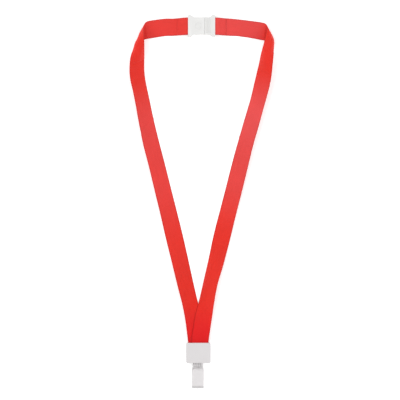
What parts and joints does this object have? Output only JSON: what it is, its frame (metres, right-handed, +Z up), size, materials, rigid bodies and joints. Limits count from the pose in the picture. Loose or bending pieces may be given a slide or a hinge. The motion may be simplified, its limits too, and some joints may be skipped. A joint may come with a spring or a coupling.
{
  "type": "lanyard",
  "caption": "Red flat-ribbon neck lanyard lying in a long loop, with a white breakaway buckle behind the neck, a clamp block at the bottom and a hinged plastic badge hook with a springy tongue.",
  "frame": {"origin": "on the surface that the lanyard lies on, in the middle of its outline", "axes": "+X across the lanyard, +Y from the badge hook to the neck buckle, +Z up from the surface"},
  "size_m": [0.1677, 0.4335, 0.0213],
  "materials": {
    "ribbon": "woven polyester ribbon, soft satin sheen",
    "thread": "sewing thread",
    "buckle_plastic": "smooth white moulded plastic",
    "block_plastic": "fine satin, pale grey-white moulded plastic",
    "hook_plastic": "milky, slightly translucent moulded plastic",
    "pin_steel": "plain steel pin"
  },
  "bodies": {
    "lanyard": {"ribbon_left": "ribbon", "ribbon_right": "ribbon", "stitching_left": "thread", "buckle_socket": "buckle_plastic", "block_front": "block_plastic", "block_back": "block_plastic", "pivot_pin": "pin_steel"},
    "buckle_plug": {"buckle_plug": "buckle_plastic", "ribbon_right_neck": "ribbon", "stitching_right": "thread"},
    "hook": {"hook_leg": "hook_plastic"},
    "tongue": {"hook_tongue": "hook_plastic"}
  },
  "joints": [
    {"name": "breakaway", "type": "slide", "parent": "lanyard", "child": "buckle_plug", "axis": [1, 0, 0], "range_m": [0, 0.01], "deforming": ["ribbon_right_neck"]},
    {"name": "hook_swing", "type": "hinge", "parent": "lanyard", "child": "hook", "pos_m": [-0.0044, -0.1851, 0.0043], "axis": [1, 0, 0], "range_deg": [-25, 25]},
    {"name": "tongue_flex", "type": "hinge", "parent": "hook", "child": "tongue", "pos_m": [-0.0044, -0.2127, 0.0044], "axis": [1, 0, 0], "range_deg": [0, 8], "stiffness_Nm_per_rad": 0.5}
  ]
}
